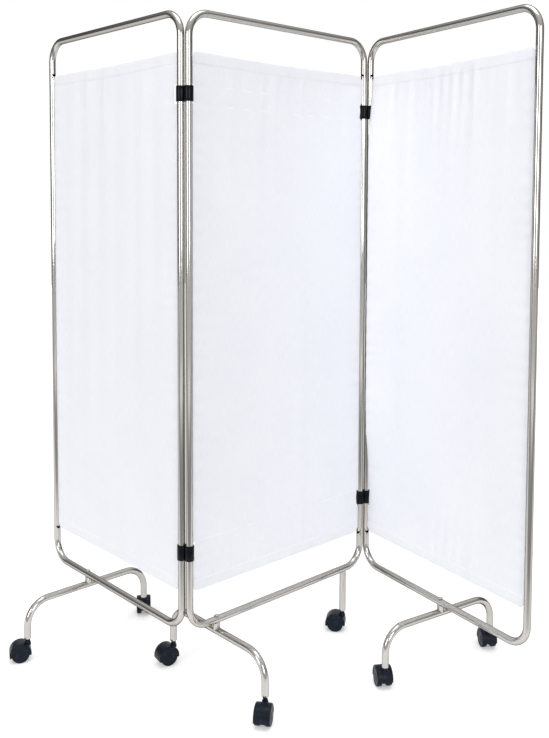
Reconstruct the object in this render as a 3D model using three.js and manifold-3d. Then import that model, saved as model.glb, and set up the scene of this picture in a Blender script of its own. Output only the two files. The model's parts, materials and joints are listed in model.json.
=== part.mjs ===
// Three-panel ward privacy screen on twin-wheel castors.
// Millimetres, +Z up. The middle panel lies along X; the two side panels are folded into a zigzag.
import * as THREE from 'three';
import { mergeVertices } from 'three/addons/utils/BufferGeometryUtils.js';
import Module from 'manifold-3d';

const wasm = await Module();
wasm.setup();

// Driving sizes of the screen
const panelWidth = 660;          // between the centre lines of a frame's two uprights
const panelHeight = 1610;        // between the centre lines of a frame's two rails
const tubeDiameter = 19;
const tubeWall = 1.2;
const cornerBend = 60;           // centre-line radius of a frame's corners
const legEndHeight = 62.5;       // from the floor up to a leg's end, which the castor fills
const fitGap = 0.3;              // clearance between two pieces that touch
const leftTurn = 89.7;           // degrees between the left and the middle panel, from a straight line
const rightTurn = 99.9;          // degrees between the middle and the right panel, from a straight line

// Feet: one crossbar under each panel, and a plain leg under the middle panel's far end
const footHalfSpan = 199;        // from the panel's plane to a leg's centre line
const footBend = 65;             // centre-line radius of a crossbar's two bends
const barDrop = 30;              // from the rail's centre line down to the crossbar's
const legStraight = 36;          // straight run of a leg below its bend
const leftFootPlace = 186;       // along each panel, from its left upright's centre line
const middleFootPlace = 90;
const rightFootPlace = 343;
const legInset = 75;             // from the middle panel's far upright back to its plain leg
const boltShank = 6;             // diameter
const boltHead = 13;
const boltHeadHeight = 4;
const boltDomeShares = [0.72, 0.75];   // of the head's radius and height, where its dome breaks

// Curtain: one cloth for each panel, with a cord sewn into each side hem and held in the upright's slot
const curtainInset = 100;        // from a rail's centre line to the curtain's edge
const clothThickness = 1.4;
const hemHeight = 30;
const hemThickness = 2.4;
const cordDiameter = 6;
const slotWidth = 2.8;
const notchDiameter = 14;        // round end of a slot
const foldDepth = 3;             // how far the cloth's soft upright folds stand out
const foldSpacing = 94;
const foldMargin = 36;           // flat cloth beside each upright
const foldRise = 60;             // over which the folds grow to their full depth
const foldLowShare = 0.45;       // how deep the folds are at the bottom hem
const foldWaveShare = 0.7;       // of the folds' depth; the rest is one long wave
const foldDrift = 0.6;           // how far a fold wanders sideways on its way up, in radians
const topSag = 4;                // how far the middle of the top hem hangs below its ends
const clothColumns = 24;
const clothRows = 6;             // between the two hems

// Clips: two double-ring clips join each pair of uprights
const clipHeight = 44;
const uprightGap = 3;            // between the two uprights of a pair
const clipInset = 108;           // from the curtain's edge to the clip's middle
const clipWall = 2.6;
const clipSlip = 0.5;            // clearance around the tube inside a ring
const leftClipTurn = 120;        // degrees from the middle panel's line to the left clips'
const rightClipTurn = -21;       // and to the right clips'
const cutoutDepth = 20;          // opening in the cloth at each clip, from the tube's surface
const cutoutMargin = 3;          // above and below the clip

// Castors: 50 mm twin wheels under a hood
const wheelDiameter = 50;
const wheelWidth = 15.4;
const wheelBevel = 2.5;
const hoodRadius = 30.5;         // about the wheels' axle
const hoodWall = 3;
const castorWidth = 44;
const webWidth = 12.4;           // middle plate that carries axle and stem
const trail = 21;                // from the swivel's axis to the axle
const axleDiameter = 6;
const stemDiameter = 7;
const stemDepth = 34;            // how far the stem reaches down into the hood
const plugRoom = 6;              // from the top of the stem's plug up to the leg's bend
const neckDiameter = 13;
const axleInsertion = 12;        // how far the axle reaches into each wheel
const hoodBackAngle = -15;       // degrees about the axle, where the hood starts on the trailing side
const hoodFrontAngle = 188;      // and where it ends past the stem
const webFoot = 11;              // radius of the middle plate below the axle

// Facets
const tubeSides = 12;
const boreSides = 8;
const bendSteps = 4;
const wheelSides = 16;
const pinSides = 10;
const arcSteps = 10;
const mergeShare = 1e-5;         // of the tube's diameter, within which corners are one
const overrun = 2;               // how far a cutting shape runs past what it cuts

const tubeRadius = tubeDiameter / 2;
const boreRadius = tubeRadius - tubeWall;
const legDrop = barDrop + footBend + legStraight;
const legPlace = panelWidth - legInset;
const plugLength = legStraight - plugRoom;
const railHeight = legEndHeight + legDrop;
const clipPitch = tubeDiameter + uprightGap;
const wheelRadius = wheelDiameter / 2;
const curtainTop = panelHeight - curtainInset;

const steel = { color: 0xb9b3aa, roughness: 0.32, metalness: 0.95 };
const zinc = { color: 0xa9abad, roughness: 0.4, metalness: 0.9 };
const cloth = { color: 0xe9ecf6, roughness: 0.9, metalness: 0 };
const blackPlastic = { color: 0x1b2128, roughness: 0.5, metalness: 0 };

const radians = THREE.MathUtils.degToRad;

// A closed geometry as a solid that can be cut and joined
function solidOf(geometry) {
  const plain = geometry.clone();
  plain.deleteAttribute('normal');
  plain.deleteAttribute('uv');
  const merged = mergeVertices(plain, tubeDiameter * mergeShare);
  return new wasm.Manifold(new wasm.Mesh({
    numProp: 3,
    vertProperties: new Float32Array(merged.attributes.position.array),
    triVerts: new Uint32Array(merged.index.array),
  }));
}

function meshOf(name, solid, finish) {
  const { vertProperties, triVerts } = solid.getMesh();
  const geometry = new THREE.BufferGeometry();
  geometry.setAttribute('position', new THREE.BufferAttribute(new Float32Array(vertProperties), 3));
  geometry.setIndex(new THREE.BufferAttribute(new Uint32Array(triVerts), 1));
  const faceted = geometry.toNonIndexed();
  faceted.computeVertexNormals();
  const mesh = new THREE.Mesh(faceted, new THREE.MeshStandardMaterial(finish));
  mesh.name = name;
  return mesh;
}

// Corners of a regular polygon whose flats face along X and Y
function polygonPoints(radius, sides) {
  return Array.from({ length: sides }, (_, i) => {
    const angle = ((i + 0.5) / sides) * 2 * Math.PI;
    return new THREE.Vector2(radius * Math.cos(angle), radius * Math.sin(angle));
  });
}

// Polygon radius whose flats, not its corners, lie at the given radius
function aroundRadius(radius, sides) {
  return radius / Math.cos(Math.PI / sides);
}

// An upright round bar between two heights
function roundBar(radius, low, high, sides) {
  const bar = new THREE.ExtrudeGeometry(new THREE.Shape(polygonPoints(radius, sides)), {
    depth: high - low,
    bevelEnabled: false,
  });
  return bar.translate(0, 0, low);
}

function block(x, y, z) {
  const size = [x, y, z].map(([low, high]) => high - low);
  const middle = [x, y, z].map(([low, high]) => (low + high) / 2);
  return new THREE.BoxGeometry(...size).translate(...middle);
}

// A route of straight runs joined by bends of one radius, sampled only where the tube needs a ring
class BentRoute extends THREE.Curve {
  constructor(corners, bendRadius, closed) {
    super();
    this.stations = [];
    corners.forEach((corner, i) => {
      const before = corners.at(i - 1);
      const after = corners[(i + 1) % corners.length];
      if (!closed && i === 0) {
        this.addStation(corner, after.clone().sub(corner).normalize());
      } else if (!closed && i === corners.length - 1) {
        this.addStation(corner, corner.clone().sub(before).normalize());
      } else {
        this.addBend(before, corner, after, bendRadius);
      }
    });
    if (closed) this.stations.push(this.stations[0]);
  }

  addStation(point, tangent) {
    this.stations.push({ point: point.clone(), tangent });
  }

  addBend(before, corner, after, bendRadius) {
    const inward = corner.clone().sub(before).normalize();
    const onward = after.clone().sub(corner).normalize();
    const turn = inward.angleTo(onward);
    const axis = inward.clone().cross(onward).normalize();
    const start = corner.clone().addScaledVector(inward, -bendRadius * Math.tan(turn / 2));
    const toCentre = axis.clone().cross(inward).multiplyScalar(bendRadius);
    const centre = start.clone().add(toCentre);
    for (let step = 0; step <= bendSteps; step += 1) {
      const angle = turn * (step / bendSteps);
      const spoke = toCentre.clone().negate().applyAxisAngle(axis, angle);
      this.addStation(centre.clone().add(spoke), inward.clone().applyAxisAngle(axis, angle));
    }
  }

  at(u) {
    return this.stations[Math.round(u * (this.stations.length - 1))];
  }

  getPointAt(u) {
    return this.at(u).point.clone();
  }

  getTangentAt(u) {
    return this.at(u).tangent.clone();
  }
}

// Hollow tube along a route; a closed loop keeps only its walls, because it has no ends
function tubeAlong(route, closed) {
  const section = new THREE.Shape(polygonPoints(tubeRadius, tubeSides));
  section.holes.push(new THREE.Path(polygonPoints(boreRadius, boreSides).reverse()));
  const tube = new THREE.ExtrudeGeometry(section, {
    steps: route.stations.length - 1,
    extrudePath: route,
  });
  if (!closed) return tube;
  const walls = tube.groups.find((group) => group.materialIndex === 1);
  const kept = tube.attributes.position.array.slice(walls.start * 3, (walls.start + walls.count) * 3);
  return new THREE.BufferGeometry().setAttribute('position', new THREE.BufferAttribute(kept, 3));
}

const inPanelPlane = (x, z) => new THREE.Vector3(x, 0, z);
const acrossPanel = (y, z) => new THREE.Vector3(0, y, z);

const clipMiddles = [curtainInset + clipInset, curtainTop - clipInset];

// The bent tube loop of one panel, slotted along both uprights, with a bolt hole through its bottom rail
function frame(name, footPlace) {
  const corners = [
    inPanelPlane(0, 0),
    inPanelPlane(panelWidth, 0),
    inPanelPlane(panelWidth, panelHeight),
    inPanelPlane(0, panelHeight),
  ];
  let loop = solidOf(tubeAlong(new BentRoute(corners, cornerBend, true), true));
  for (const [upright, side] of [[0, 1], [panelWidth, -1]]) {
    const reach = [upright, upright + side * (tubeRadius + overrun)].sort((a, b) => a - b);
    const halfSlot = slotWidth / 2;
    const slot = solidOf(block(reach, [-halfSlot, halfSlot], [curtainInset, curtainTop]));
    loop = loop.subtract(slot);
    for (const end of [curtainInset, curtainTop]) {
      const notch = roundBar(notchDiameter / 2, 0, tubeRadius + overrun, pinSides);
      notch.rotateY(side * Math.PI / 2).translate(upright, 0, end);
      loop = loop.subtract(solidOf(notch));
    }
  }
  const holeRadius = aroundRadius(boltShank / 2 + fitGap, pinSides);
  const hole = roundBar(holeRadius, -tubeDiameter, tubeDiameter, pinSides).translate(footPlace, 0, 0);
  return meshOf(name, loop.subtract(solidOf(hole)), steel);
}

// How far the cloth stands out of the panel's plane at a place on it
function foldOffset(x, z, phase) {
  const fromUpright = Math.min(x, panelWidth - x);
  const calm = THREE.MathUtils.smoothstep(fromUpright, foldMargin, foldMargin + foldRise);
  const rise = (z - curtainInset) / (curtainTop - curtainInset);
  const strength = foldLowShare + (1 - foldLowShare) * rise * rise;
  const drift = foldDrift * Math.sin(Math.PI * rise + phase);
  const wave = Math.cos((x / foldSpacing) * 2 * Math.PI + phase + drift);
  const longWave = Math.sin((x / panelWidth) * 2 * Math.PI + phase * 2);
  return foldDepth * calm * strength * (foldWaveShare * wave + (1 - foldWaveShare) * longWave);
}

// Heights of the cloth's rows of corners: two for each hem and a few between them
function clothRowHeights() {
  const low = curtainInset + hemHeight;
  const high = curtainTop - hemHeight;
  const between = Array.from({ length: clothRows + 1 }, (_, i) => low + ((high - low) * i) / clothRows);
  return [curtainInset, low - clothThickness, ...between, high + clothThickness, curtainTop];
}

// Stretched cloth with thicker hems, the cords sewn into its sides and an opening beside each clip
function curtain(name, phase, clipSides) {
  const rows = clothRowHeights();
  const lastRow = rows.length - 1;
  const cordCentre = boreRadius * Math.cos(Math.PI / boreSides) - fitGap - cordDiameter / 2;
  const clothWidth = panelWidth - cordCentre * 2;
  const sheet = new THREE.BoxGeometry(clothWidth, clothThickness, panelHeight, clothColumns, 1, lastRow);
  sheet.translate(panelWidth / 2, 0, panelHeight / 2);
  const corners = sheet.attributes.position;
  for (let i = 0; i < corners.count; i += 1) {
    const x = corners.getX(i);
    const row = Math.round((corners.getZ(i) / panelHeight) * lastRow);
    const inHem = row < 2 || row > lastRow - 2;
    const nearUpright = Math.min(x, panelWidth - x) < foldMargin;
    const thickness = inHem && !nearUpright ? hemThickness : clothThickness;
    const sag = row === lastRow ? topSag * Math.sin((Math.PI * (x - cordCentre)) / clothWidth) ** 2 : 0;
    const y = foldOffset(x, rows[row], phase) + Math.sign(corners.getY(i)) * (thickness / 2);
    corners.setXYZ(i, x, y, rows[row] - sag);
  }
  let solid = solidOf(sheet);
  for (const [upright, side] of clipSides) {
    const reach = [upright, upright + side * (tubeRadius + cutoutDepth)].sort((a, b) => a - b);
    const halfOpening = clipHeight / 2 + cutoutMargin;
    for (const middle of clipMiddles) {
      const heights = [middle - halfOpening, middle + halfOpening];
      solid = solid.subtract(solidOf(block(reach, [-tubeRadius, tubeRadius], heights)));
    }
  }
  for (const x of [cordCentre, panelWidth - cordCentre]) {
    const cord = roundBar(cordDiameter / 2, curtainInset, curtainTop, boreSides).translate(x, 0, 0);
    solid = solid.add(solidOf(cord));
  }
  return meshOf(name, solid, cloth);
}

// Crossbar: one tube bent down at both ends, running under the rail
function crossbar(name) {
  const corners = [
    acrossPanel(-footHalfSpan, -legDrop),
    acrossPanel(-footHalfSpan, -barDrop),
    acrossPanel(footHalfSpan, -barDrop),
    acrossPanel(footHalfSpan, -legDrop),
  ];
  const tube = solidOf(tubeAlong(new BentRoute(corners, footBend, false), false));
  const holeRadius = aroundRadius(boltShank / 2 + fitGap, pinSides);
  const hole = solidOf(roundBar(holeRadius, -barDrop, 0, pinSides));
  return meshOf(name, tube.subtract(hole), steel);
}

// Room that a tube and its fit take, for coping another piece onto it
function tubeRoom(length) {
  return roundBar(tubeRadius + fitGap, -length / 2, length / 2, tubeSides);
}

// Short post between rail and crossbar, coped to both, with a hole for the bolt
function post(name) {
  const alongRail = solidOf(tubeRoom(tubeDiameter * 2).rotateY(Math.PI / 2));
  const alongBar = solidOf(tubeRoom(tubeDiameter * 2).rotateX(Math.PI / 2).translate(0, 0, -barDrop));
  const holeRadius = aroundRadius(boltShank / 2 + fitGap, pinSides);
  const hole = solidOf(roundBar(holeRadius, -barDrop - overrun, overrun, pinSides));
  const body = solidOf(roundBar(tubeRadius, -barDrop, 0, tubeSides));
  return meshOf(name, body.subtract(alongRail).subtract(alongBar).subtract(hole), steel);
}

// Dome-headed bolt from the rail's top down into the crossbar
function bolt(name) {
  const seat = tubeRadius + fitGap;
  const [domeRadiusShare, domeHeightShare] = boltDomeShares;
  const profile = [
    new THREE.Vector2(0, -barDrop),
    new THREE.Vector2(boltShank / 2, -barDrop),
    new THREE.Vector2(boltShank / 2, seat),
    new THREE.Vector2(boltHead / 2, seat),
    new THREE.Vector2((boltHead / 2) * domeRadiusShare, seat + boltHeadHeight * domeHeightShare),
    new THREE.Vector2(0, seat + boltHeadHeight),
  ];
  return meshOf(name, solidOf(new THREE.LatheGeometry(profile, pinSides).rotateX(Math.PI / 2)), zinc);
}

// Straight leg under the middle panel's rail, coped to the rail at its top
function leg(name) {
  const route = new BentRoute([acrossPanel(0, -legDrop), acrossPanel(0, 0)], footBend, false);
  const rail = solidOf(tubeRoom(tubeDiameter * 2).rotateY(Math.PI / 2));
  return meshOf(name, solidOf(tubeAlong(route, false)).subtract(rail), steel);
}

// Double-ring clip: two closed rings that share the wall between them, one around each upright
function clip(name, middle) {
  const ringRadius = tubeRadius + clipSlip + clipWall;
  const meet = Math.acos(clipPitch / 2 / ringRadius);
  const outline = new THREE.Shape();
  outline.absarc(0, 0, ringRadius, meet, 2 * Math.PI - meet);
  outline.absarc(clipPitch, 0, ringRadius, Math.PI + meet, 3 * Math.PI - meet);
  for (const x of [0, clipPitch]) {
    const bore = polygonPoints(aroundRadius(tubeRadius + clipSlip, wheelSides), wheelSides);
    outline.holes.push(new THREE.Path(bore.map((point) => new THREE.Vector2(point.x + x, point.y)).reverse()));
  }
  const rings = new THREE.ExtrudeGeometry(outline, {
    depth: clipHeight,
    bevelEnabled: false,
    curveSegments: wheelSides / 2,
  });
  return meshOf(name, solidOf(rings.translate(0, 0, middle - clipHeight / 2)), blackPlastic);
}

// Part of a ring or disc about the axle, as wide as the castor or a plate of it
function aboutAxle(shape, width) {
  const plate = new THREE.ExtrudeGeometry(shape, {
    depth: width,
    bevelEnabled: false,
    curveSegments: arcSteps / 2,
  });
  return plate.translate(0, 0, -width / 2).rotateX(Math.PI / 2).translate(trail, 0, wheelRadius);
}

// Hood over both wheels, its middle plate and the neck that turns on the stem
function hood(name) {
  const back = radians(hoodBackAngle);
  const front = radians(hoodFrontAngle);
  const innerRadius = hoodRadius - hoodWall;
  const cover = new THREE.Shape();
  cover.absarc(0, 0, hoodRadius, back, front);
  cover.absarc(0, 0, innerRadius, front, back, true);
  const plate = new THREE.Shape();
  plate.absarc(0, 0, innerRadius + hoodWall / 2, back, front);
  plate.absarc(0, 0, webFoot, front, 2 * Math.PI + back);
  const neckTop = legEndHeight - fitGap;
  const neck = roundBar(neckDiameter / 2, wheelRadius, neckTop, tubeSides);
  const clearOfWheels = roundBar(
    aroundRadius(innerRadius, wheelSides), -castorWidth, castorWidth, wheelSides,
  ).rotateX(Math.PI / 2).translate(trail, 0, wheelRadius);
  const boreRadiusOfStem = aroundRadius(stemDiameter / 2 + fitGap, pinSides);
  const stemBore = roundBar(boreRadiusOfStem, neckTop - stemDepth - fitGap, neckTop + overrun, pinSides);
  const axleRadius = aroundRadius(axleDiameter / 2 + fitGap, boreSides);
  const axleBore = roundBar(axleRadius, -castorWidth, castorWidth, boreSides)
    .rotateX(Math.PI / 2).translate(trail, 0, wheelRadius);
  const solid = solidOf(neck)
    .subtract(solidOf(clearOfWheels))
    .add(solidOf(aboutAxle(cover, castorWidth)))
    .add(solidOf(aboutAxle(plate, webWidth)))
    .subtract(solidOf(stemBore))
    .subtract(solidOf(axleBore));
  return meshOf(name, solid, blackPlastic);
}

// Steel stem: a plug that grips inside the leg above a pin that the hood turns on
function stem(name) {
  const pinEnd = legEndHeight - fitGap - stemDepth;
  const plugRadius = boreRadius * Math.cos(Math.PI / boreSides) - fitGap;
  const plugTop = legEndHeight + plugLength;
  const profile = [
    new THREE.Vector2(0, pinEnd),
    new THREE.Vector2(stemDiameter / 2, pinEnd),
    new THREE.Vector2(stemDiameter / 2, legEndHeight),
    new THREE.Vector2(plugRadius, legEndHeight),
    new THREE.Vector2(plugRadius, plugTop - tubeWall),
    new THREE.Vector2(0, plugTop),
  ];
  return meshOf(name, solidOf(new THREE.LatheGeometry(profile, pinSides).rotateX(Math.PI / 2)), zinc);
}

function axle(name) {
  const half = webWidth / 2 + fitGap + axleInsertion;
  const pin = roundBar(axleDiameter / 2, -half, half, boreSides);
  return meshOf(name, solidOf(pin.rotateX(Math.PI / 2).translate(trail, 0, wheelRadius)), zinc);
}

// One wheel, with one flat of its faceted tread on the floor; its bore is closed at the outer face
function wheel(name, side) {
  const tread = aroundRadius(wheelRadius, wheelSides);
  const inner = webWidth / 2 + fitGap;
  const outer = inner + wheelWidth;
  const boreWall = axleDiameter / 2 + fitGap;
  const profile = [
    new THREE.Vector2(0, inner + axleInsertion + fitGap),
    new THREE.Vector2(boreWall, inner + axleInsertion + fitGap),
    new THREE.Vector2(boreWall, inner),
    new THREE.Vector2(tread - wheelBevel, inner),
    new THREE.Vector2(tread, inner + wheelBevel),
    new THREE.Vector2(tread, outer - wheelBevel),
    new THREE.Vector2(tread - wheelBevel, outer),
    new THREE.Vector2(0, outer),
  ];
  const disc = new THREE.LatheGeometry(profile, wheelSides, Math.PI / wheelSides);
  if (side < 0) disc.rotateX(Math.PI);
  return meshOf(name, solidOf(disc.translate(trail, 0, wheelRadius)), blackPlastic);
}

// A castor stands on the floor under a leg's end and trails in the given direction, in degrees
function castor(name, x, y, trailing) {
  const group = new THREE.Group();
  group.add(
    stem(`${name}_stem`),
    hood(`${name}_hood`),
    axle(`${name}_axle`),
    wheel(`${name}_wheel_left`, 1),
    wheel(`${name}_wheel_right`, -1),
  );
  group.position.set(x, y, -railHeight);
  group.rotation.z = radians(trailing);
  return group;
}

// One panel with its foot; clipSides lists the uprights that carry clips, and the way to the cloth
function panel(side, footPlace, phase, clipSides, trailingFront, trailingRear) {
  const group = new THREE.Group();
  const foot = new THREE.Group();
  foot.add(crossbar(`${side}_crossbar`), post(`${side}_post`), bolt(`${side}_bolt`));
  foot.position.x = footPlace;
  group.add(
    frame(`${side}_frame`, footPlace),
    curtain(`${side}_curtain`, phase, clipSides),
    foot,
    castor(`${side}_front_castor`, footPlace, -footHalfSpan, trailingFront),
    castor(`${side}_rear_castor`, footPlace, footHalfSpan, trailingRear),
  );
  return group;
}

const leftUpright = [0, 1];
const rightUpright = [panelWidth, -1];

const middlePanel = panel('middle', middleFootPlace, 0.4, [leftUpright, rightUpright], 217, 170);
const middleLeg = leg('middle_leg');
middleLeg.position.x = legPlace;
middlePanel.add(middleLeg, castor('middle_end_castor', legPlace, 0, 128));

// Each pair of clips points from the middle panel's upright to the side panel's
const leftClips = new THREE.Group();
leftClips.add(clip('left_clip_bottom', clipMiddles[0]), clip('left_clip_top', clipMiddles[1]));
leftClips.rotation.z = radians(leftClipTurn);

const rightClips = new THREE.Group();
rightClips.add(clip('right_clip_bottom', clipMiddles[0]), clip('right_clip_top', clipMiddles[1]));
rightClips.position.x = panelWidth;
rightClips.rotation.z = radians(rightClipTurn);

const leftPanel = panel('left', leftFootPlace, 2.1, [rightUpright], 246, 146);
leftPanel.rotation.z = radians(-leftTurn);
leftPanel.position.set(
  clipPitch * Math.cos(leftClips.rotation.z) - panelWidth * Math.cos(leftPanel.rotation.z),
  clipPitch * Math.sin(leftClips.rotation.z) - panelWidth * Math.sin(leftPanel.rotation.z),
  0,
);

const rightPanel = panel('right', rightFootPlace, 4.4, [leftUpright], 157, 154);
rightPanel.rotation.z = radians(-rightTurn);
rightPanel.position.set(
  panelWidth + clipPitch * Math.cos(rightClips.rotation.z),
  clipPitch * Math.sin(rightClips.rotation.z),
  0,
);

// The screen stands on the floor with its origin under the middle of its box
const standing = new THREE.Group();
standing.add(middlePanel, leftPanel, rightPanel, leftClips, rightClips);
standing.position.z = railHeight;
const screen = new THREE.Group();
screen.add(standing);
screen.updateMatrixWorld(true);
const middleOfBox = new THREE.Box3().setFromObject(screen, true).getCenter(new THREE.Vector3());
standing.position.x = -middleOfBox.x;
standing.position.y = -middleOfBox.y;
screen.updateMatrixWorld(true);

export default screen;
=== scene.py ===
# Ward privacy screen on castors: bent tubes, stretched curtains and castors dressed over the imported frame
import json
import math
import bmesh
import bpy
from mathutils import Matrix, Vector, noise


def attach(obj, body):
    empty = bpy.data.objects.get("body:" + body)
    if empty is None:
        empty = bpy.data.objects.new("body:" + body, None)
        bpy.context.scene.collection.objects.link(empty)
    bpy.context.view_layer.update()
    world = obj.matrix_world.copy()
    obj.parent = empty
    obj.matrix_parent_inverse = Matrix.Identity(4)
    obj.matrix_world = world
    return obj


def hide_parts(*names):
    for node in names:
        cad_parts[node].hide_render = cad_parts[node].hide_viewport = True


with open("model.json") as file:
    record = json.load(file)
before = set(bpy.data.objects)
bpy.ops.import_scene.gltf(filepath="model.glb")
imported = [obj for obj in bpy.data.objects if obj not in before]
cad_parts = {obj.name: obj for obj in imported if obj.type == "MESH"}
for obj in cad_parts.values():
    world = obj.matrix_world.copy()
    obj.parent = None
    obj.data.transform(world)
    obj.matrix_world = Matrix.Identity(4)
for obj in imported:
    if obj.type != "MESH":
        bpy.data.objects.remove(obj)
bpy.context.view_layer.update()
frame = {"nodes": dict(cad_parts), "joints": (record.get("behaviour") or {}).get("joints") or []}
bpy.context.scene.view_settings.view_transform = "Standard"

joints = {joint["name"]: joint for joint in frame["joints"]}
nodes = frame["nodes"]

# the camera of the photograph, a little above the screen's half height
shot = {
    "place": (-1.6643, -1.8478, 1.3204),
    "yaw": 43.21,        # degrees to the right of +Y
    "pitch": -3.45,
    "roll": 0.30,
    "focal": 886.9,      # in pixels of a 549 x 738 frame
    "centre": (291.3, 255.9),
    "width": 549,
    "height": 738,
    "sight": 200,        # metres, well past the floor
}

screen = {
    "railHeight": 0.1935,
    "width": 0.660,          # between the two uprights of a panel
    "height": 1.610,         # between its two rails
    "leftTurn": -89.7,
    "rightTurn": -99.9,
    "feet": {"left": 0.186, "middle": 0.090, "right": 0.343},    # along the bottom rail
    "endLeg": 0.585,
}

print("camera")


def aimCamera():
    yaw, pitch, roll = (math.radians(shot[k]) for k in ("yaw", "pitch", "roll"))
    forward = Vector((math.sin(yaw) * math.cos(pitch), math.cos(yaw) * math.cos(pitch), math.sin(pitch)))
    right = Vector((math.cos(yaw), -math.sin(yaw), 0))
    up = right.cross(forward)
    tilted = right * math.cos(roll) + up * math.sin(roll)
    upright = up * math.cos(roll) - right * math.sin(roll)
    turn = Matrix((tilted, upright, -forward)).transposed()
    data = bpy.data.cameras.new("camera")
    longSide = max(shot["width"], shot["height"])
    data.lens = shot["focal"] / longSide * data.sensor_width
    data.shift_x = (shot["width"] / 2 - shot["centre"][0]) / longSide
    data.shift_y = (shot["centre"][1] - shot["height"] / 2) / longSide
    data.clip_end = shot["sight"]
    camera = bpy.data.objects.new("camera", data)
    camera.matrix_world = Matrix.Translation(shot["place"]) @ turn.to_4x4()
    bpy.context.scene.collection.objects.link(camera)
    bpy.context.scene.camera = camera


aimCamera()


# where each panel stands: its own x runs from one upright to the other, its -y is the front
def place(jointName):
    spot = Vector(joints[jointName]["pos_m"])
    spot.z = screen["railHeight"]
    return Matrix.Translation(spot)


def turned(degrees):
    return Matrix.Rotation(math.radians(degrees), 4, "Z")


panels = {
    "left": place("left_panel_turn") @ turned(screen["leftTurn"])
        @ Matrix.Translation((-screen["width"], 0, 0)),
    "middle": place("left_clips_turn"),
    "right": place("right_panel_turn") @ turned(screen["rightTurn"]),
}
castorNames = [name[: -len("_swivel")] for name in joints if name.endswith("_swivel")]


def linear(hexColour):
    parts = [int(hexColour[i : i + 2], 16) / 255 for i in (1, 3, 5)]
    return tuple(p / 12.92 if p <= 0.04045 else ((p + 0.055) / 1.055) ** 2.4 for p in parts) + (1.0,)


def newMaterial(name):
    material = bpy.data.materials.new(name)
    material.use_nodes = True
    tree = material.node_tree
    tree.nodes.clear()
    output = tree.nodes.new("ShaderNodeOutputMaterial")
    return material, tree, output


def add(tree, kind, links=(), **settings):
    node = tree.nodes.new("ShaderNode" + kind)
    for key, value in settings.items():
        setattr(node, key, value)
    for socket, value in links:
        target = node.inputs[socket]
        if isinstance(value, bpy.types.NodeSocket):
            tree.links.new(value, target)
        else:
            target.default_value = value
    return node


def ramp(tree, factor, stops):
    node = add(tree, "ValToRGB", [("Fac", factor)])
    node.color_ramp.elements[0].position, node.color_ramp.elements[0].color = stops[0]
    node.color_ramp.elements[1].position, node.color_ramp.elements[1].color = stops[-1]
    for position, colour in stops[1:-1]:
        node.color_ramp.elements.new(position).color = colour
    return node


def grey(value):
    return (value, value, value, 1.0)


print("materials")

steelLook = {
    "light": "#c8c5c0",
    "dark": "#a9a6a1",
    "roughness": (0.07, 0.14),
    "grain": 0.0009,      # metres between the belt's rings
    "smudge": 0.12,       # metres across a patch of wear
    "edge": "#262524",    # painted dark reflection: this tint darkens the tube's outline at a grazing angle
}


def satinSteel():
    # satin stainless tube, belt polished around its length: crisp long highlights over a faint ring grain
    material, tree, output = newMaterial("satinStainlessSteel")
    along = add(tree, "Attribute", attribute_name="along")
    spot = add(tree, "TexCoord")
    ringPlace = add(tree, "CombineXYZ", [("Z", along.outputs["Fac"])])
    rings = add(tree, "TexNoise", [("Vector", ringPlace.outputs[0]), ("Scale", 1 / steelLook["grain"]),
        ("Detail", 3.0)])
    smudges = add(tree, "TexNoise", [("Vector", spot.outputs["Object"]), ("Scale", 1 / steelLook["smudge"]),
        ("Detail", 4.0)])
    colour = ramp(tree, rings.outputs["Fac"],
        [(0.3, linear(steelLook["dark"])), (0.6, linear(steelLook["light"]))])
    worn = add(tree, "MapRange", [("Value", smudges.outputs["Fac"]), ("From Min", 0.35), ("From Max", 0.7),
        ("To Min", steelLook["roughness"][0]), ("To Max", steelLook["roughness"][1])])
    bump = add(tree, "Bump", [("Height", rings.outputs["Fac"]), ("Strength", 0.02), ("Distance", 0.0001)])
    # the edge tint paints a dark reflection along the tube's outline
    shader = add(tree, "BsdfPrincipled", [("Base Color", colour.outputs["Color"]), ("Metallic", 1.0),
        ("Specular Tint", linear(steelLook["edge"])), ("Roughness", worn.outputs["Result"]),
        ("Normal", bump.outputs["Normal"])])
    tree.links.new(shader.outputs["BSDF"], output.inputs["Surface"])
    return material


zincLook = {
    "light": "#bdbec0",
    "dark": "#94969a",
    "roughness": (0.28, 0.5),
    "cloud": 1 / 260,     # metres across a cloud of the bloom
}


def zincSteel():
    # zinc-plated steel fasteners: greyer and duller than the tubes, with a cloudy bloom
    material, tree, output = newMaterial("zincPlatedSteel")
    spot = add(tree, "TexCoord")
    cloud = add(tree, "TexNoise", [("Vector", spot.outputs["Object"]), ("Scale", 1 / zincLook["cloud"]),
        ("Detail", 5.0)])
    colour = ramp(tree, cloud.outputs["Fac"],
        [(0.35, linear(zincLook["dark"])), (0.65, linear(zincLook["light"]))])
    rough = add(tree, "MapRange", [("Value", cloud.outputs["Fac"]), ("To Min", zincLook["roughness"][0]),
        ("To Max", zincLook["roughness"][1])])
    bump = add(tree, "Bump", [("Height", cloud.outputs["Fac"]), ("Strength", 0.15), ("Distance", 0.0002)])
    shader = add(tree, "BsdfPrincipled", [("Base Color", colour.outputs["Color"]), ("Metallic", 1.0),
        ("Roughness", rough.outputs["Result"]), ("Normal", bump.outputs["Normal"])])
    tree.links.new(shader.outputs["BSDF"], output.inputs["Surface"])
    return material


clothLook = {
    "light": "#f7f8fc",
    "shade": "#eef0f6",
    "thread": 0.0011,     # real threads lie 0.4 mm apart; drawn coarser so that they show
    "seeThrough": 0.14,
    "hemSeeThrough": 0.10,
    "slubs": (900.0, 40.0, 1.0),    # thick places in the threads, per metre across and down
    "wash": 5.0,          # patches per metre
}


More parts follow.
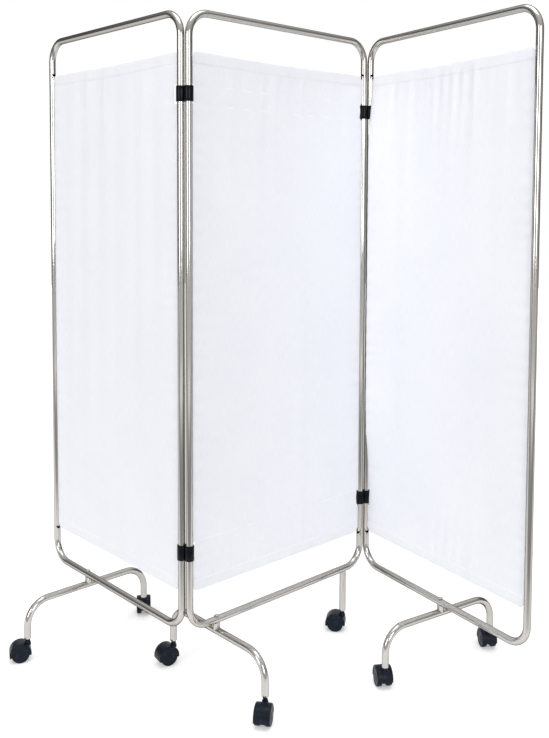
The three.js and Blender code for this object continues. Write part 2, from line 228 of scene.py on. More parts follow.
def curtainCloth(name, seeThrough):
    # plain-weave polyester cotton, washed many times: matt, faintly see-through, with uneven threads
    material, tree, output = newMaterial(name)
    flat = add(tree, "UVMap", uv_map="flat")
    spacing = 1 / clothLook["thread"]
    warp, weft = (add(tree, "TexWave", [("Vector", flat.outputs["UV"]), ("Scale", spacing / math.tau * 2),
        ("Distortion", 0.6), ("Detail", 2.0), ("Detail Scale", 1.5)], bands_direction=way) for way in "XY")
    weave = add(tree, "Math", [(0, warp.outputs["Fac"]), (1, weft.outputs["Fac"])], operation="MULTIPLY")
    slubPlace = add(tree, "Mapping", [("Vector", flat.outputs["UV"]), ("Scale", clothLook["slubs"])])
    slubs = add(tree, "TexNoise", [("Vector", slubPlace.outputs["Vector"]), ("Scale", 1.0), ("Detail", 3.0)])
    wash = add(tree, "TexNoise", [("Vector", flat.outputs["UV"]), ("Scale", clothLook["wash"]),
        ("Detail", 4.0)])
    tone = add(tree, "Mix", [("Factor", 0.25), (2, slubs.outputs["Fac"]), (3, wash.outputs["Fac"])])
    colour = ramp(tree, tone.outputs[0],
        [(0.3, linear(clothLook["shade"])), (0.6, linear(clothLook["light"]))])
    height = add(tree, "Math", [(0, weave.outputs[0]), (1, slubs.outputs["Fac"])], operation="ADD")
    bump = add(tree, "Bump", [("Height", height.outputs[0]), ("Strength", 0.25), ("Distance", 0.0002)])
    front = add(tree, "BsdfPrincipled", [("Base Color", colour.outputs["Color"]), ("Roughness", 0.85),
        ("Sheen Weight", 0.15), ("Normal", bump.outputs["Normal"])])
    through = add(tree, "BsdfTranslucent", [("Color", colour.outputs["Color"]),
        ("Normal", bump.outputs["Normal"])])
    mixed = add(tree, "MixShader", [("Fac", seeThrough), (1, front.outputs[0]), (2, through.outputs[0])])
    tree.links.new(mixed.outputs[0], output.inputs["Surface"])
    return material


threadLook = {
    "light": "#fafbff",
    "dark": "#dfe1ec",
    "twists": 900.0,      # per metre
}


def sewingThread():
    # spun polyester thread: whiter than the cloth, with a twist that catches a little light
    material, tree, output = newMaterial("spunPolyesterThread")
    spot = add(tree, "TexCoord")
    twist = add(tree, "TexWave", [("Vector", spot.outputs["Object"]), ("Scale", threadLook["twists"])],
        bands_direction="DIAGONAL")
    colour = ramp(tree, twist.outputs["Fac"],
        [(0.2, linear(threadLook["dark"])), (0.8, linear(threadLook["light"]))])
    bump = add(tree, "Bump", [("Height", twist.outputs["Fac"]), ("Strength", 0.3), ("Distance", 0.0001)])
    shader = add(tree, "BsdfPrincipled", [("Base Color", colour.outputs["Color"]), ("Roughness", 0.6),
        ("Sheen Weight", 0.3), ("Normal", bump.outputs["Normal"])])
    tree.links.new(shader.outputs["BSDF"], output.inputs["Surface"])
    return material


# grit is the metres between the sparks of the mould's texture
plasticLooks = {
    "glassFilledNylonClip": {
        "dark": "#03080d", "light": "#0e1a26", "grit": 0.0006, "roughness": (0.16, 0.3), "shine": 0.14,
    },
    "polypropyleneHood": {
        "dark": "#07101a", "light": "#172636", "grit": 0.0007, "roughness": (0.3, 0.46), "shine": 0.16,
    },
    "castNylonWheel": {
        "dark": "#08121d", "light": "#192a3c", "grit": 0.0005, "roughness": (0.34, 0.5), "shine": 0.16,
    },
}


def mouldedPlastic(name, dark, light, grit, roughness, shine):
    # injection-moulded plastic: a fine spark texture under a soft shine, with pale marks where it is rubbed
    material, tree, output = newMaterial(name)
    spot = add(tree, "TexCoord")
    spark = add(tree, "TexNoise", [("Vector", spot.outputs["Object"]), ("Scale", 1 / grit), ("Detail", 2.0)])
    rub = add(tree, "TexNoise", [("Vector", spot.outputs["Object"]), ("Scale", 90.0), ("Detail", 6.0),
        ("Roughness", 0.7)])
    rubbed = ramp(tree, rub.outputs["Fac"], [(0.5, grey(0.0)), (0.75, grey(1.0))])
    colour = add(tree, "Mix", [("Factor", rubbed.outputs["Color"]), (6, linear(dark)), (7, linear(light))],
        data_type="RGBA")
    rough = add(tree, "MapRange", [("Value", rub.outputs["Fac"]), ("To Min", roughness[0]),
        ("To Max", roughness[1])])
    bump = add(tree, "Bump", [("Height", spark.outputs["Fac"]), ("Strength", 0.25), ("Distance", 0.0002)])
    shader = add(tree, "BsdfPrincipled", [("Base Color", colour.outputs[2]),
        ("Roughness", rough.outputs["Result"]), ("IOR", 1.5), ("Specular IOR Level", shine),
        ("Normal", bump.outputs["Normal"])])
    tree.links.new(shader.outputs["BSDF"], output.inputs["Surface"])
    return material


steel = satinSteel()
zinc = zincSteel()
cloth = curtainCloth("plainWeaveCurtainCloth", clothLook["seeThrough"])
hemCloth = curtainCloth("doubledHemCloth", clothLook["hemSeeThrough"])
thread = sewingThread()
clipPlastic, hoodPlastic, wheelPlastic = (mouldedPlastic(name, **look) for name, look in plasticLooks.items())


# a finished piece has its place in its mesh, its modifiers applied and its edges kept crisp
def newPiece(name, bm, material, placed=Matrix.Identity(4), modifiers=(), crease=35):
    mesh = bpy.data.meshes.new(name)
    bm.to_mesh(mesh)
    bm.free()
    piece = bpy.data.objects.new(name, mesh)
    bpy.context.scene.collection.objects.link(piece)
    for kind, settings in modifiers:
        modifier = piece.modifiers.new(kind.title(), kind)
        for key, value in settings.items():
            setattr(modifier, key, value)
    if modifiers:
        bpy.context.view_layer.update()
        baked = bpy.data.meshes.new_from_object(piece.evaluated_get(bpy.context.evaluated_depsgraph_get()))
        piece.modifiers.clear()
        piece.data = baked
    piece.data.transform(placed)
    piece.data.shade_smooth()
    piece.data.set_sharp_from_angle(angle=math.radians(crease))
    piece.data.materials.clear()
    piece.data.materials.append(material)
    return piece


def dropCutter(cutter):
    bpy.data.objects.remove(cutter)


def cutterFrom(bm):
    mesh = bpy.data.meshes.new("cutter")
    bmesh.ops.recalc_face_normals(bm, faces=bm.faces)
    bm.to_mesh(mesh)
    bm.free()
    cutter = bpy.data.objects.new("cutter", mesh)
    bpy.context.scene.collection.objects.link(cutter)
    return cutter


# the modifier that takes a cutter's shape out of a piece
def cutBy(cutter, **more):
    return ("BOOLEAN", {"object": cutter, "operation": "DIFFERENCE", "solver": "EXACT", **more})


# the modifier that breaks every edge sharper than the angle
def softened(width, sharpest):
    limit = math.radians(sharpest)
    return ("BEVEL", {"width": width, "segments": 2, "limit_method": "ANGLE", "angle_limit": limit})


# the turn that brings one direction, z unless it is said, onto another
def turnTo(way, start=(0, 0, 1)):
    return Vector(start).rotation_difference(Vector(way)).to_matrix().to_4x4()


def allOf(bm):
    return bm.verts[:] + bm.edges[:] + bm.faces[:]


def addDrum(bm, spot, axis, radius, depth, sides=32):
    bmesh.ops.create_cone(bm, cap_ends=True, segments=sides, radius1=radius, radius2=radius, depth=depth,
        matrix=Matrix.Translation(spot) @ turnTo(axis))


# a full turn of a profile, given as (radius, height) pairs, about the z axis
def addTurned(bm, profile, sides=48, closed=False):
    verts = [bm.verts.new((radius, 0, height)) for radius, height in profile]
    edges = [bm.edges.new(pair) for pair in zip(verts, verts[1:])]
    if closed:
        edges.append(bm.edges.new((verts[-1], verts[0])))
    bmesh.ops.spin(bm, geom=verts + edges, cent=(0, 0, 0), axis=(0, 0, 1), angle=math.tau, steps=sides,
        use_merge=True, use_duplicate=False)
    bmesh.ops.remove_doubles(bm, verts=bm.verts, dist=1e-6)
    bmesh.ops.recalc_face_normals(bm, faces=bm.faces)


tube = {
    "radius": 0.0095,
    "wall": 0.0012,
    "sides": 48,
    "corner": 0.060,
    "cornerSteps": 14,
    "slotLow": 0.100,
    "slotHigh": 1.510,
    "slotHalf": 0.0013,   # a face is left out for the slot where its middle is this near the slot's line
    "slotDepth": 0.02,    # and no further in from the upright's centre line than this
    "notch": 0.0070,      # radius of the drilled end of a slot
    "notchDepthShare": 1.6,
    "boltHole": 0.0033,
    "lastStretch": 0.005,    # of a frame's loop, before its ends meet
}


# a tube is grown ring by ring, and each ring remembers how far along the tube it lies
def firstRing(bm, spot, heading):
    layer = bm.verts.layers.float.new("along")
    bmesh.ops.create_circle(bm, segments=tube["sides"], radius=tube["radius"],
        matrix=Matrix.Translation(spot) @ turnTo(heading))
    return {"edges": bm.edges[:], "along": 0.0, "layer": layer}


def growRing(bm, ring, move, length):
    made = bmesh.ops.extrude_edge_only(bm, edges=ring["edges"])["geom"]
    verts = {item for item in made if isinstance(item, bmesh.types.BMVert)}
    edges = [item for item in made if isinstance(item, bmesh.types.BMEdge) and set(item.verts) <= verts]
    bmesh.ops.transform(bm, matrix=move, verts=list(verts))
    for vert in verts:
        vert[ring["layer"]] = ring["along"] + length
    return {"edges": edges, "along": ring["along"] + length, "layer": ring["layer"]}


def runStraight(bm, ring, offset):
    return growRing(bm, ring, Matrix.Translation(offset), Vector(offset).length)


def runBend(bm, ring, centre, axis, degrees, radius, steps):
    angle = math.radians(degrees) / steps
    move = Matrix.Translation(centre) @ Matrix.Rotation(angle, 4, axis) @ Matrix.Translation(-Vector(centre))
    for _ in range(steps):
        ring = growRing(bm, ring, move, abs(angle) * radius)
    return ring


wall = ("SOLIDIFY", {"thickness": tube["wall"], "offset": -1.0, "use_rim": True, "use_even_offset": True})


def makeFrame(side):
    width, height, bend = screen["width"], screen["height"], tube["corner"]
    at, join = screen["feet"][side], tube["lastStretch"]
    bm = bmesh.new()
    ring = firstRing(bm, (at, 0, 0), (-1, 0, 0))
    corner = ((0, 1, 0), 90, bend, tube["cornerSteps"])
    ring = runStraight(bm, ring, (bend - at, 0, 0))
    ring = runBend(bm, ring, (bend, 0, bend), *corner)
    rises = (tube["slotLow"] - bend, tube["slotHigh"] - tube["slotLow"], height - bend - tube["slotHigh"])
    for rise in rises:
        ring = runStraight(bm, ring, (0, 0, rise))
    ring = runBend(bm, ring, (bend, 0, height - bend), *corner)
    ring = runStraight(bm, ring, (width - 2 * bend, 0, 0))
    ring = runBend(bm, ring, (width - bend, 0, height - bend), *corner)
    for rise in reversed(rises):
        ring = runStraight(bm, ring, (0, 0, -rise))
    ring = runBend(bm, ring, (width - bend, 0, bend), *corner)
    ring = runStraight(bm, ring, (at + join - (width - bend), 0, 0))
    runStraight(bm, ring, (-join, 0, 0))
    bmesh.ops.remove_doubles(bm, verts=bm.verts, dist=1e-5)
    bmesh.ops.recalc_face_normals(bm, faces=bm.faces)

    def inSlot(face):
        spot = face.calc_center_median()
        inward = spot.x if spot.x < width / 2 else width - spot.x
        across = abs(spot.y) < tube["slotHalf"] and 0 < inward < tube["slotDepth"]
        return across and tube["slotLow"] < spot.z < tube["slotHigh"]

    slots = [face for face in bm.faces if inSlot(face)]
    bmesh.ops.delete(bm, geom=slots, context="FACES")

    holes = bmesh.new()
    reach = tube["radius"] * tube["notchDepthShare"]
    for x in (reach / 2, width - reach / 2):
        for z in (tube["slotLow"], tube["slotHigh"]):
            addDrum(holes, (x, 0, z), (1, 0, 0), tube["notch"], reach)
    addDrum(holes, (at, 0, 0), (0, 0, 1), tube["boltHole"], tube["radius"] * foot["holeShare"])
    cutter = cutterFrom(holes)
    piece = newPiece(side + "FrameTube", bm, steel, panels[side], [wall, cutBy(cutter)])
    dropCutter(cutter)
    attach(piece, side + "_panel")
    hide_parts(side + "_frame")


foot = {
    "half": 0.199,        # from the panel's plane to a leg
    "bend": 0.065,
    "bendSteps": 14,
    "barDrop": 0.030,     # from the rail's centre down to the bar's
    "legDrop": 0.131,     # from the rail's centre down to a leg's end
    "fit": 0.0003,
    "boltHead": 0.0065,
    "boltDome": 0.004,
    "shank": 0.003,
    "holeShare": 2.6,     # a hole's length for each radius of the tube that it goes through
    "copeShare": 4,       # and the length of the drum that copes a post
}


def makeCrossbar(side):
    at = screen["feet"][side]
    half, bend = foot["half"], foot["bend"]
    bm = bmesh.new()
    ring = firstRing(bm, (at, -half, -foot["legDrop"]), (0, 0, 1))
    upright = foot["legDrop"] - foot["barDrop"] - bend
    corner = ((1, 0, 0), -90, bend, foot["bendSteps"])
    ring = runStraight(bm, ring, (0, 0, upright))
    ring = runBend(bm, ring, (at, bend - half, -foot["barDrop"] - bend), *corner)
    ring = runStraight(bm, ring, (0, 2 * (half - bend), 0))
    ring = runBend(bm, ring, (at, half - bend, -foot["barDrop"] - bend), *corner)
    runStraight(bm, ring, (0, 0, -upright))
    bmesh.ops.recalc_face_normals(bm, faces=bm.faces)
    holes = bmesh.new()
    addDrum(holes, (at, 0, -foot["barDrop"] / 2), (0, 0, 1), tube["boltHole"], foot["barDrop"])
    cutter = cutterFrom(holes)
    piece = newPiece(side + "CrossbarTube", bm, steel, panels[side], [wall, cutBy(cutter)])
    dropCutter(cutter)
    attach(piece, side + "_panel")
    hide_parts(side + "_crossbar")


# the short post is a bit of tube, flared and coped at both ends to sit on the rail and the bar
def makePost(side):
    at = screen["feet"][side]
    drop, radius = foot["barDrop"], tube["radius"]
    bore = foot["shank"] + foot["fit"]
    bm = bmesh.new()
    addTurned(bm, [(bore, -drop), (radius, -drop), (radius, -drop * 0.72), (radius * 0.97, -drop * 0.62),
        (radius * 0.97, -drop * 0.38), (radius, -drop * 0.28), (radius, 0), (bore, 0)], closed=True)
    room = bmesh.new()
    for height, axis in ((0, (1, 0, 0)), (-drop, (0, 1, 0))):
        addDrum(room, (0, 0, height), axis, radius + foot["fit"], radius * foot["copeShare"], tube["sides"])
    cutter = cutterFrom(room)
    piece = newPiece(side + "CopedPost", bm, steel, panels[side] @ Matrix.Translation((at, 0, 0)),
        [cutBy(cutter, use_self=True), softened(0.0004, 50)])
    dropCutter(cutter)
    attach(piece, side + "_panel")
    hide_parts(side + "_post")


def makeBolt(side):
    seat = tube["radius"] + foot["fit"]
    head, dome, shank = foot["boltHead"], foot["boltDome"], foot["shank"]
    end = -foot["barDrop"]
    profile = [(0, end), (shank * 0.8, end), (shank, end + shank * 0.3), (shank, seat), (head, seat),
        (head, seat + dome * 0.2)]
    for step in range(2, 9):
        angle = math.radians(step * 10)
        profile.append((head * math.cos(angle), seat + dome * (0.2 + 0.8 * math.sin(angle))))
    profile.append((0, seat + dome))
    bm = bmesh.new()
    addTurned(bm, profile)
    placed = panels[side] @ Matrix.Translation((screen["feet"][side], 0, 0))
    piece = newPiece(side + "DomeBolt", bm, zinc, placed)
    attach(piece, side + "_panel")
    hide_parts(side + "_bolt")


def makeEndLeg():
    bm = bmesh.new()
    ring = firstRing(bm, (0, 0, -foot["legDrop"]), (0, 0, 1))
    runStraight(bm, ring, (0, 0, foot["legDrop"]))
    bmesh.ops.recalc_face_normals(bm, faces=bm.faces)
    room = bmesh.new()
    addDrum(room, (0, 0, 0), (1, 0, 0), tube["radius"] + foot["fit"], tube["radius"] * foot["copeShare"],
        tube["sides"])
    cutter = cutterFrom(room)
    placed = panels["middle"] @ Matrix.Translation((screen["endLeg"], 0, 0))
    piece = newPiece("middleEndLegTube", bm, steel, placed, [wall, cutBy(cutter)])
    dropCutter(cutter)
    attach(piece, "middle_panel")
    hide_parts("middle_leg")


print("frames and feet")
for side in panels:
    makeFrame(side)
    makeCrossbar(side)
    makePost(side)
    makeBolt(side)
makeEndLeg()


clip = {
    "pitch": 0.022,       # between the two uprights it joins
    "outer": 0.0124,
    "inner": 0.0100,
    "half": 0.020,        # half its height
    "round": 0.0009,
    "lead": 0.0004,       # the bores' chamfered mouths
    "past": 0.0005,       # how far a bore's cutter stands out of the clip
    "middles": (0.208, 1.402),
}


# the outline of both rings together at one height: once round the first, then round the second
def clipOutline(bm, radius, height, steps=40):
    cusp = math.acos(clip["pitch"] / 2 / radius)
    verts = []
    for x, start in ((0, cusp), (clip["pitch"], cusp + math.pi)):
        for k in range(steps):
            angle = start + (math.tau - 2 * cusp) * k / steps
            verts.append(bm.verts.new((x + radius * math.cos(angle), radius * math.sin(angle), height)))
    return verts


# two rings moulded in one, so close that they share their wall; each turns on its own upright
def makeClips(side, jointName, otherJoint):
    here, there = Vector(joints[jointName]["pos_m"]), Vector(joints[otherJoint]["pos_m"])
    heading = math.atan2(there.y - here.y, there.x - here.x)
    outer, inner, half, edge = clip["outer"], clip["inner"], clip["half"], clip["round"]
    lead, past, soft = clip["lead"], clip["past"], edge * 0.3
    for level, middle in zip(("bottom", "top"), clip["middles"]):
        bm = bmesh.new()
        rims = [clipOutline(bm, radius, height) for radius, height in (
            (outer - edge, -half), (outer - soft, -half + soft), (outer, -half + edge),
            (outer, half - edge), (outer - soft, half - soft), (outer - edge, half))]
        for low, high in zip(rims, rims[1:]):
            for k, vert in enumerate(low):
                bm.faces.new((low[k - 1], vert, high[k], high[k - 1]))
        bm.faces.new(rims[-1])
        bm.faces.new(reversed(rims[0]))
        bmesh.ops.recalc_face_normals(bm, faces=bm.faces)
        bores = bmesh.new()
        for bore in range(2):
            bmesh.ops.translate(bores, verts=bores.verts, vec=(clip["pitch"] * bore, 0, 0))
            addTurned(bores, [(0, -half - past), (inner + lead + past, -half - past), (inner, -half + lead),
                (inner, half - lead), (inner + lead + past, half + past), (0, half + past)])
        cutter = cutterFrom(bores)
        spot = (here.x, here.y, screen["railHeight"] + middle)
        placed = Matrix.Translation(spot) @ Matrix.Rotation(heading, 4, "Z")
        piece = newPiece(f"{side}RingClip{level.title()}", bm, clipPlastic, placed, [cutBy(cutter)])
        dropCutter(cutter)
        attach(piece, side + "_clips")
        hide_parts(f"{side}_clip_{level}")


print("clips")
makeClips("left", "left_clips_turn", "left_panel_turn")
makeClips("right", "right_clips_turn", "right_panel_turn")


castor = {
    "trail": 0.021,
    "wheel": 0.025,       # radius
    "legEnd": 0.0625,
    "half": 0.022,        # half the castor's width
    "hood": 0.0305,       # radius about the axle
    "hoodWall": 0.0025,
    "shoulder": 0.0040,   # how much the hood's edges are rounded
    "hoodAngles": (-15, 188),
    "web": 0.0062,        # half the middle plate's thickness
    "neck": 0.0064,
    "neckBore": 0.0038,
    "axleBore": 0.0033,
    "axleBoreDepth": 0.0124,
    "boss": 0.0105,       # radius of the plate's foot round the axle
    "plateTop": 0.006,    # how far above the axle the plate's flat edge lies
    "lip": 0.0012,        # how much thinner the hood is beside its rounded edge
    "edge": 0.0006,       # the plate's broken edges
    "gap": 0.0003,
}


# everything about the axle is turned about z and then laid along the castor's y
def layOnAxle(bm):
    spot = (castor["trail"], 0, castor["wheel"])
    move = Matrix.Translation(spot) @ Matrix.Rotation(math.radians(-90), 4, "X")
    bmesh.ops.transform(bm, matrix=move, verts=bm.verts)


# the cover that arches over both wheels, a closed section spun about the axle
def archMesh():
    bm = bmesh.new()
    r, half, thick, soft = castor["hood"], castor["half"], castor["hoodWall"], castor["shoulder"]
    start, end = (math.radians(a) for a in castor["hoodAngles"])
    rim = []
    for step in range(6):
        angle = math.radians(step * 18)
        rim.append((r - soft * (1 - math.sin(angle)), half - soft * (1 - math.cos(angle))))
    inside = [(radius - thick, across - castor["lip"] * (i < 2)) for i, (radius, across) in enumerate(rim)]
    outer = rim + [(radius, -across) for radius, across in reversed(rim)]
    inner = [(radius, -across) for radius, across in inside] + list(reversed(inside))
    section = [bm.verts.new((radius, 0, across)) for radius, across in outer + inner]
    edges = [bm.edges.new(pair) for pair in zip(section, section[1:] + section[:1])]
    bmesh.ops.rotate(bm, cent=(0, 0, 0), matrix=Matrix.Rotation(-start, 3, "Z"), verts=section)
    first = bm.faces.new(section)
    bmesh.ops.spin(bm, geom=[first], cent=(0, 0, 0), axis=(0, 0, -1), angle=end - start, steps=44,
        use_duplicate=False)
    if not first.is_valid:
        bm.faces.new(section)
    bmesh.ops.remove_doubles(bm, verts=bm.verts, dist=1e-7)
    bmesh.ops.recalc_face_normals(bm, faces=bm.faces)
    layOnAxle(bm)
    return bm


# the plate between the wheels, cut flat above the axle, with a rounded foot round the axle
def plateMesh():
    bm = bmesh.new()
    across = castor["web"] * 2
    addDrum(bm, (0, 0, 0), (0, 0, 1), castor["hood"] - castor["hoodWall"] / 2, across, 64)
    bmesh.ops.bisect_plane(bm, geom=allOf(bm), plane_co=(0, castor["plateTop"], 0), plane_no=(0, 1, 0),
        clear_outer=True)
    bmesh.ops.holes_fill(bm, edges=[edge for edge in bm.edges if edge.is_boundary])
    addDrum(bm, (0, 0, 0), (0, 0, 1), castor["boss"], across, 40)
    layOnAxle(bm)
    sharp = [edge for edge in bm.edges if edge.calc_face_angle(0) > math.radians(60)]
    bmesh.ops.bevel(bm, geom=sharp, offset=castor["edge"], offset_type="OFFSET", segments=2, profile=0.5,
        affect="EDGES", material=-1)
    return bm


# the neck that turns on the stem, under the leg's end
def neckMesh():
    bm = bmesh.new()
    n, bore = castor["neck"], castor["neckBore"]
    top = castor["legEnd"] - castor["gap"]
    addTurned(bm, [(bore, 0.044), (n + 0.0030, 0.044), (n + 0.0022, 0.0505), (n + 0.0008, 0.0535),
        (n, 0.0560), (n, top - 0.0010), (n - 0.0005, top), (bore, top)], closed=True)
    return bm


def hoodMesh():
    bm = archMesh()
    for extra in (plateMesh(), neckMesh()):
        mesh = bpy.data.meshes.new("extra")
        extra.to_mesh(mesh)
        extra.free()
        bm.from_mesh(mesh)
        bpy.data.meshes.remove(mesh)
    return bm


# side is 1 or -1: the wheel's outer face looks along the castor's y or against it
def wheelMesh(side):
    bm = bmesh.new()
    near, far, r = castor["web"] + castor["gap"], castor["half"] - 0.0001, castor["wheel"]
    bore, depth = castor["axleBore"], castor["axleBoreDepth"]
    profile = [(bore, near), (r - 0.0060, near), (r - 0.0052, near + 0.0007), (r - 0.0022, near + 0.0007),
        (r - 0.0006, near + 0.0013), (r, near + 0.0030), (r, far - 0.0034), (r - 0.0006, far - 0.0014),
        (r - 0.0020, far - 0.0003), (r - 0.0034, far), (r - 0.0042, far - 0.0005), (r - 0.0056, far - 0.0008),
        (0.0098, far - 0.0008), (0.0090, far - 0.0005), (0.0080, far), (0.0040, far + 0.0001),
        (0, far + 0.0001), (0, near + depth), (bore, near + depth)]
    addTurned(bm, profile, sides=64, closed=True)
    if side < 0:
        bmesh.ops.rotate(bm, cent=(0, 0, 0), matrix=Matrix.Rotation(math.pi, 3, "X"), verts=bm.verts)
    layOnAxle(bm)
    return bm


def makeCastor(name):
    pivot = Vector(joints[name + "_swivel"]["pos_m"])
    wheels = [Vector(joints[f"{name}_{hand}_spin"]["pos_m"]) for hand in ("left", "right")]
    away = (wheels[0] + wheels[1]) / 2 - pivot
    placed = Matrix.Translation((pivot.x, pivot.y, 0)) @ Matrix.Rotation(math.atan2(away.y, away.x), 4, "Z")
    hood = newPiece(name + "_hoodMoulding", hoodMesh(), hoodPlastic, placed)
    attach(hood, name)
    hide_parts(name + "_hood")
    for hand in ("left", "right"):
        spot = placed.inverted() @ wheels[0 if hand == "left" else 1]
        mesh = wheelMesh(1 if spot.y > 0 else -1)
        wheel = newPiece(f"{name}_{hand}WheelTread", mesh, wheelPlastic, placed)
        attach(wheel, f"{name}_{hand}_wheel")
        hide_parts(f"{name}_wheel_{hand}")
    for part in ("stem", "axle"):
        node = nodes[f"{name}_{part}"]
        node.data.materials.clear()
        node.data.materials.append(zinc)


print("castors")
for name in castorNames:
    makeCastor(name)


curtain = {
    "inset": 0.0060,      # from an upright's centre to the cloth's edge, inside the slot
    "cord": 0.00437,      # and to the middle of its side cord
    "cordRadius": 0.0030,
    "low": 0.100,
    "high": 1.510,
    "step": 0.0055,       # size of the cloth's mesh
    "thick": 0.0006,
    "hem": 0.030,
    "hemThick": 0.0013,
    "cutoutHalf": 0.025,
    "fold": 0.0010,
    "foldSpacing": 0.094,
    "sag": 0.004,
    "inHem": 0.004,       # how far the cloth's edge lies inside its hems
    "stitch": 0.0034,
    "stitchThick": 0.0005,
    "stitchGap": 0.0014,
    "seamIn": 0.02,       # from an upright's centre to the first stitch
    "seamUp": 0.0275,     # from the hem's edge to its row of stitches
    "corner": 0.0160,     # cut off each corner, so that the cord can be fed in through the drilled ends
    "crease": 0.0011,     # depth of the long faint creases
    "pull": 0.0011,       # depth of the pulls along the slots, and the way from one to the next
    "pullPitch": 0.043,
    "ripple": 0.0007,     # rise of the top hem's ripples, and the way from one to the next
    "ripplePitch": 0.061,
    "swell": 0.0045,      # how far the left curtain swells out beside its free upright
    "pleat": 0.0044,      # how far the strongest pleat stands out
    "pleatWidth": 0.0085,
    "pleatDrop": 0.105,   # how fast a pleat fades below the top hem, and above the bottom one
}
phases = {"middle": 0.4, "left": 2.1, "right": 4.4}
# how far each clip's cut-out reaches in from its upright, at the bottom and at the top
cutouts = {
    "middle": {"left": (0.0170, 0.0170), "right": (0.0170, 0.0170)},
    "left": {"right": (0.0170, 0.0295)},
    "right": {"left": (0.0170, 0.0140)},
}
gathers = {"left": 0.5, "middle": 0.55, "right": 1.0}    # how strongly each top hem is gathered
# the pleats under each top hem: how far across the panel, and how strong
pleatShares = {
    "left": [(0.30, 0.2), (0.45, 0.25), (0.58, 0.2), (0.74, 0.2)],
    "middle": [(0.12, 0.2), (0.22, 0.35), (0.30, 0.3), (0.38, 0.45), (0.45, 0.35), (0.52, 0.3), (0.61, 0.4),
        (0.70, 0.25), (0.80, 0.2)],
    "right": [(0.14, 0.3), (0.20, 0.4), (0.27, 0.55), (0.34, 0.3), (0.44, 0.7), (0.50, 0.85), (0.555, 0.8),
        (0.61, 1.0), (0.68, 1.0), (0.76, 0.4), (0.86, 0.3)],
}


def smooth(low, high, value):
    t = min(1.0, max(0.0, (value - low) / (high - low)))
    return t * t * (3 - 2 * t)


# the right curtain bellies over its hinge upright: height above the rail, and how far it stands out
belly = [(0.100, 0), (0.240, 0.0004), (0.300, 0.0030), (0.356, 0.0076), (0.424, 0.0140), (0.520, 0.0165),
    (1.250, 0.0165), (1.310, 0.0155), (1.333, 0.0145), (1.380, 0.0105), (1.424, 0.0063), (1.470, 0.0025),
    (1.510, 0)]


def bellyAt(z):
    for (low, a), (high, b) in zip(belly, belly[1:]):
        if z <= high:
            return a + (b - a) * smooth(low, high, z)
    return 0.0


# how far the cloth stands out of its panel's plane; the front is negative
def clothOut(side, x, z):
    width = screen["width"]
    fromEdge = min(x, width - x)
    rise = (z - curtain["low"]) / (curtain["high"] - curtain["low"])
    phase = phases[side]
    calm = smooth(0.036, 0.096, fromEdge)
    drift = 0.6 * math.sin(math.pi * rise + phase)
    wave = math.cos(x / curtain["foldSpacing"] * math.tau + phase + drift)
    longWave = math.sin(x / width * math.tau + phase * 2)
    out = curtain["fold"] * calm * (0.45 + 0.55 * rise * rise) * (0.7 * wave + 0.3 * longWave)
    # pleats that run down from the top hem and fade, leaning a little, and fainter ones above the bottom hem
    near = smooth(0.010, 0.05, fromEdge)
    wander = noise.noise(Vector((x * 6, z * 1.6, phase)))
    drop = curtain["high"] - curtain["hem"] - z
    climb = z - curtain["low"] - curtain["hem"]
    for share, strength in pleatShares[side]:
        for away, lean, part in ((drop, -0.05, 1.0), (climb, 0.10, 0.45)):
            off = (x - share * width - lean * away - wander * 0.010) / curtain["pleatWidth"]
            if abs(off) < 3 and away < 0.5:
                grown = smooth(-curtain["hem"], 0.030, away) * math.exp(-max(away, 0) / curtain["pleatDrop"])
                out -= curtain["pleat"] * part * strength * grown * (math.exp(-off * off) - 0.35)
    # long faint creases down the whole drop
    ridge = noise.noise(Vector((x * 22, z * 0.9, phase + 7)))
    out += curtain["crease"] * near * ridge * (0.5 + 0.5 * gathers[side])
    # pulls along the slots, where the cord draws the cloth in
    pull = math.exp(-max(fromEdge - 0.012, 0) / 0.030) * smooth(0.0100, 0.020, fromEdge)
    shift = noise.noise(Vector((z * 9, x, phase))) * 4
    out += curtain["pull"] * pull * math.sin(z * math.tau / curtain["pullPitch"] + shift)
    if side == "right":
        out -= bellyAt(z) * smooth(0.0085, 0.0140, x) * math.exp(-max(x - 0.018, 0) / 0.060)
    if side == "left":
        swell = curtain["swell"] * (0.4 + 0.6 * math.sin(math.pi * rise))
        out -= swell * smooth(0.0085, 0.018, x) * math.exp(-max(x - 0.025, 0) / 0.070)
    return out


def clothSag(side, x, z):
    width = screen["width"]
    span = math.sin(math.pi * x / width) ** 2
    high = smooth(0.80, 1.0, (z - curtain["low"]) / (curtain["high"] - curtain["low"]))
    wave = math.sin(x * math.tau / curtain["ripplePitch"] + phases[side])
    ripple = curtain["ripple"] * gathers[side] * wave
    return -high * (curtain["sag"] * span + ripple * span)


def clothPoint(side, x, z, proud=0.0):
    return Vector((x, clothOut(side, x, z) + proud, z + clothSag(side, x, z)))


def clothGrid(low, high, step):
    bm = bmesh.new()
    left, right = curtain["inset"], screen["width"] - curtain["inset"]
    columns, rows = round((right - left) / step), max(2, round((high - low) / step))
    bmesh.ops.create_grid(bm, x_segments=columns, y_segments=rows, size=0.5)
    bmesh.ops.scale(bm, vec=(right - left, high - low, 1), verts=bm.verts)
    bmesh.ops.translate(bm, vec=((left + right) / 2, (low + high) / 2, 0), verts=bm.verts)
    return bm


def trimCorners(bm):
    width, cut = screen["width"], curtain["corner"]
    for x, outX in ((curtain["inset"], -1), (width - curtain["inset"], 1)):
        for z, outZ in ((curtain["low"], -1), (curtain["high"], 1)):
            bmesh.ops.bisect_plane(bm, geom=allOf(bm), plane_co=(x - outX * cut, z, 0),
                plane_no=(outX, outZ, 0), clear_outer=True)


